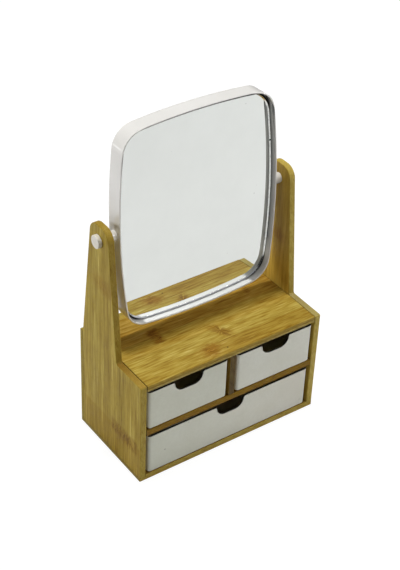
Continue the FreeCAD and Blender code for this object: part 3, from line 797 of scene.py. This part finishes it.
def glass_piece(name, side, node):
    """One plate: a ground edge, and inside it the silvered face behind."""
    bm = bmesh.new()
    ey = Vector((0.0, math.cos(LEAN), -math.sin(LEAN)))
    ez = Vector((0.0, math.sin(LEAN), math.cos(LEAN)))
    rings = []
    for inset, depth in ((0.0, INNER), (0.0, OUTER - 0.00015),
                         (0.00015, OUTER), (0.0003, OUTER), (LAND, SILVER)):
        rings.append([bm.verts.new(Vector(PIVOT) + Vector((x, 0, 0))
                                   + ez * z + ey * (side * depth))
                      for x, z in glass_ring(inset)])
    n = len(rings[0])
    for a, b in zip(rings, rings[1:]):
        for i in range(n):
            j = (i + 1) % n
            bm.faces.new((a[i], a[j], b[j], b[i]))
    bm.faces.new(rings[0])
    bm.faces.new(list(reversed(rings[-1])))
    bmesh.ops.recalc_face_normals(bm, faces=bm.faces)
    me = bpy.data.meshes.new(name)
    bm.to_mesh(me)
    bm.free()
    o = bpy.data.objects.new(name, me)
    scene.collection.objects.link(o)
    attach(o, "mirror")
    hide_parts(node)
    return o


def silvered(name, marks=(), crack=()):
    """Silvered glass with a narrow bevel and a painted shadow line along its
    edge.
    """
    g = Graph(name)
    sx, sy, sz, inset = edge_distance(g)
    w1 = g.noise(g.coords(), 420.0, 3.0, 0.6)
    inner = g.math("ADD", g.math("MULTIPLY", g.math("SUBTRACT", w1, 0.5),
                                 0.0009), inset)
    band = g.ramp(inner, LAND - 0.0001, LAND + 0.0001, 1.0, 0.0)
    # painted shade: a near-black line along the glass's outer edge stands in for
    # the shaded gap to the wall
    rim = g.math("ADD", g.math("MULTIPLY", g.math("SUBTRACT", w1, 0.5),
                               0.0003), inset)
    rim = g.ramp(rim, 0.00015, 0.00034, 1.0, 0.0)
    rim = g.math("MULTIPLY", rim, g.ramp(sz, -0.102, -0.094, 0.85, 1.0))
    film = g.noise(g.coords(), 35.0, 3.0, 0.6)
    dust = g.ramp(g.voronoi(g.coords(), 40.0), 0.010, 0.022, 1.0, 0.0)
    col = g.colors(film, [(0.3, MIRROR_A), (0.7, MIRROR_B)])
    col = g.mix(g.math("MULTIPLY", dust, 0.30), col, srgb(150, 150, 148))
    for (x, z, r, power) in marks:
        d = g.vmath("LENGTH", g.vec(g.math("SUBTRACT", sx, x),
                                    g.math("SUBTRACT", sz, z), 0.0))
        col = g.mix(g.ramp(d, r * 0.4, r, power, 0.0), col,
                    srgb(70, 72, 70))
    chips = g.noise(g.coords(), 330.0, 3.0, 0.65)
    bandcol = g.colors(chips, [(0.30, srgb(186, 188, 184)),
                               (0.50, srgb(234, 236, 232)),
                               (0.80, srgb(243, 245, 241))])
    # the ground edge is milky along the bottom
    milky = g.math("MULTIPLY", g.ramp(sz, -0.100, -0.094, 1.0, 0.0), band)
    bandcol = g.mix(milky, bandcol, g.colors(chips, [
        (0.30, srgb(196, 198, 204)), (0.70, srgb(214, 215, 220))]))
    col = g.mix(band, col, bandcol)
    for (x, z, tall) in crack:
        slope = g.math("ADD", z, g.math("MULTIPLY", g.math(
            "SUBTRACT", sx, x), 0.35))
        nick = g.ramp(g.math("ABSOLUTE", g.math("SUBTRACT", sz, slope)),
                      tall * 0.35, tall * 0.5, 1.0, 0.0)
        nick = g.math("MULTIPLY", nick,
                      g.math("MULTIPLY", band, g.ramp(sx, 0.0, 0.01)))
        col = g.mix(nick, col, srgb(28, 28, 28))
    col = g.mix(rim, col, srgb(20, 21, 21))
    rough = g.ramp(film, 0.3, 0.7, 0.010, 0.022)
    rough = g.math("ADD", rough, g.math("MULTIPLY", band, 0.10))
    rough = g.math("ADD", rough, g.math("MULTIPLY", rim, 0.40))
    rough = g.math("ADD", rough, g.math("MULTIPLY", milky, 0.30))
    g.set(Base_Color=col, Roughness=rough,
          Metallic=g.math("MULTIPLY", g.math("SUBTRACT", 1.0, rim),
                          g.math("SUBTRACT", 1.0, milky)),
          Normal=g.bump(g.math("MULTIPLY", chips, band), 0.2, 0.0001))
    return g.mat


MIRROR_A, MIRROR_B = srgb(240, 243, 240), srgb(243, 246, 243)
o = glass_piece("silvered_glass_front", -1, "front_glass")
o.data.materials.append(silvered(
    "mirror_front",
    marks=[(0.0580, 0.0952, 0.0008, 0.35), (0.0707, -0.0074, 0.0008, 0.45),
           (0.0385, -0.0668, 0.0007, 0.20)],
    crack=[(0.0875, 0.0472, 0.0022)]))
o = glass_piece("silvered_glass_rear", 1, "rear_glass")
o.data.materials.append(silvered("mirror_rear"))
plain = Graph("glass_hidden")
c = plain.noise(plain.coords(), 35.0, 3.0, 0.6)
plain.set(Base_Color=plain.colors(c, [(0.3, MIRROR_A), (0.7, MIRROR_B)]),
          Roughness=plain.ramp(c, 0.3, 0.7, 0.010, 0.022),
          Normal=plain.bump(c, 0.05, 0.00001))
plain.bsdf.inputs["Metallic"].default_value = 1.0
paint(["front_glass", "rear_glass"], plain.mat)


# ---------------------------------------------------------------------------
# floor, light and camera
# ---------------------------------------------------------------------------
def plane(name, z, half):
    bm = bmesh.new()
    for x, y in ((-half, -half), (half, -half), (half, half), (-half, half)):
        bm.verts.new((x, y, z))
    bm.verts.ensure_lookup_table()
    bm.faces.new(bm.verts)
    me = bpy.data.meshes.new(name)
    bm.to_mesh(me)
    bm.free()
    o = bpy.data.objects.new(name, me)
    scene.collection.objects.link(o)
    return o


# the white sweep: one sheet is seen, the one just below it gives the light
floor = plane("floor", 0.0, 6.0)
floor.visible_diffuse = False
floor.visible_glossy = False
floor.visible_transmission = False
floor.visible_shadow = False
g = Graph("floor_white")
f = g.noise(g.coords(), 6.0, 2.0)
g.set(Base_Color=g.colors(f, [(0.3, (0.11, 0.11, 0.11, 1)),
                              (0.7, (0.13, 0.13, 0.13, 1))]),
      Roughness=0.9)
g.bsdf.inputs["Specular IOR Level"].default_value = 0.0
g.bsdf.inputs["Emission Color"].default_value = (1.0, 1.0, 0.995, 1.0)
g.bsdf.inputs["Emission Strength"].default_value = 0.945
floor.data.materials.append(g.mat)

bounce = plane("floor_bounce", -0.0005, 6.0)
bounce.visible_camera = False
g = Graph("floor_bounce_white")
f = g.noise(g.coords(), 6.0, 2.0)
g.set(Base_Color=g.colors(f, [(0.3, (0.78, 0.78, 0.775, 1)),
                              (0.7, (0.80, 0.80, 0.795, 1))]),
      Roughness=0.9)
g.bsdf.inputs["Specular IOR Level"].default_value = 0.0
bounce.data.materials.append(g.mat)

# a dim room round the lamps
world = bpy.data.worlds.new("studio")
scene.world = world
world.use_nodes = True
nt = world.node_tree
nt.nodes.clear()
wo = nt.nodes.new("ShaderNodeOutputWorld")
bg = nt.nodes.new("ShaderNodeBackground")
bg.inputs["Color"].default_value = (1.0, 1.0, 1.0, 1.0)
bg.inputs["Strength"].default_value = 0.04
nt.links.new(bg.outputs[0], wo.inputs[0])


def lamp(name, loc, target, size, power, size_y=None):
    ld = bpy.data.lights.new(name, "AREA")
    ld.energy = power
    if size_y is None:
        ld.shape = "DISK"
        ld.size = size
    else:
        ld.shape = "RECTANGLE"
        ld.size = size
        ld.size_y = size_y
    o = bpy.data.objects.new(name, ld)
    scene.collection.objects.link(o)
    o.location = loc
    o.rotation_euler = (Vector(target) - Vector(loc)).to_track_quat(
        "-Z", "Y").to_euler()
    o.visible_camera = False
    return o


def panel(name, azimuth, elevation, size, size_y, power, dist=2.0,
          target=(0.0, 0.0, 0.15)):
    """A soft box, its azimuth measured from the front towards the right."""
    a, e = math.radians(azimuth), math.radians(elevation)
    way = Vector((math.sin(a) * math.cos(e), -math.cos(a) * math.cos(e),
                  math.sin(e)))
    return lamp(name, Vector(target) + way * dist, target, size, power,
                size_y)


def strip(name, tilt, power):
    """A long box overhead, its tilt measured towards the back."""
    a = math.radians(tilt)
    target = Vector((0.0, 0.0, 0.15))
    return lamp(name, target + Vector((0.0, math.sin(a), math.cos(a))) * 2.0,
                target, 1.3, power, 0.35)


lamp("key_overhead", (-0.07, 0.160, 1.9), (0.0, 0.0, 0.12), 0.10, 16.6)
strip("strip_overhead", -1.0, 4.5)
strip("strip_front", -10.0, 1.7)
strip("strip_behind", 17.0, 1.9)
panel("soft_front_right", 36.0, 37.0, 0.66, 0.60, 6.3)
panel("soft_left", -108.0, 15.0, 0.6, 0.6, 10.3)
panel("soft_left_back", -126.0, 15.0, 0.6, 0.6, 5.4)
panel("soft_right_front", 62.0, 12.0, 0.8, 0.6, 7.1)
panel("soft_right", 90.0, 20.0, 0.8, 0.8, 12.5)
panel("soft_low_back", -140.0, -8.0, 0.5, 0.15, 0.7, 2.1,
      (-0.09, 0.02, 0.34))


AZ, EL, ROLL = math.radians(-36.46), math.radians(36.414), math.radians(2.560)
DIST = 1422.413 * MM
TARGET = Vector((-1.409, 3.75, 166.39)) * MM
d = Vector((math.sin(AZ) * math.cos(EL), -math.cos(AZ) * math.cos(EL),
            math.sin(EL)))
fw = -d
right = fw.cross(Vector((0, 0, 1))).normalized()
up = right.cross(fw)
rr = right * math.cos(ROLL) + up * math.sin(ROLL)
uu = -right * math.sin(ROLL) + up * math.cos(ROLL)
cam = bpy.data.cameras.new("camera")
cam.sensor_fit = "HORIZONTAL"
cam.sensor_width = 36.0
cam.lens = 1422.600 / 400.0 * 36.0
cam.clip_end = 50.0
co = bpy.data.objects.new("camera", cam)
scene.collection.objects.link(co)
M = Matrix((rr, uu, -fw)).transposed().to_4x4()
M.translation = TARGET + d * DIST
co.matrix_world = M
scene.camera = co
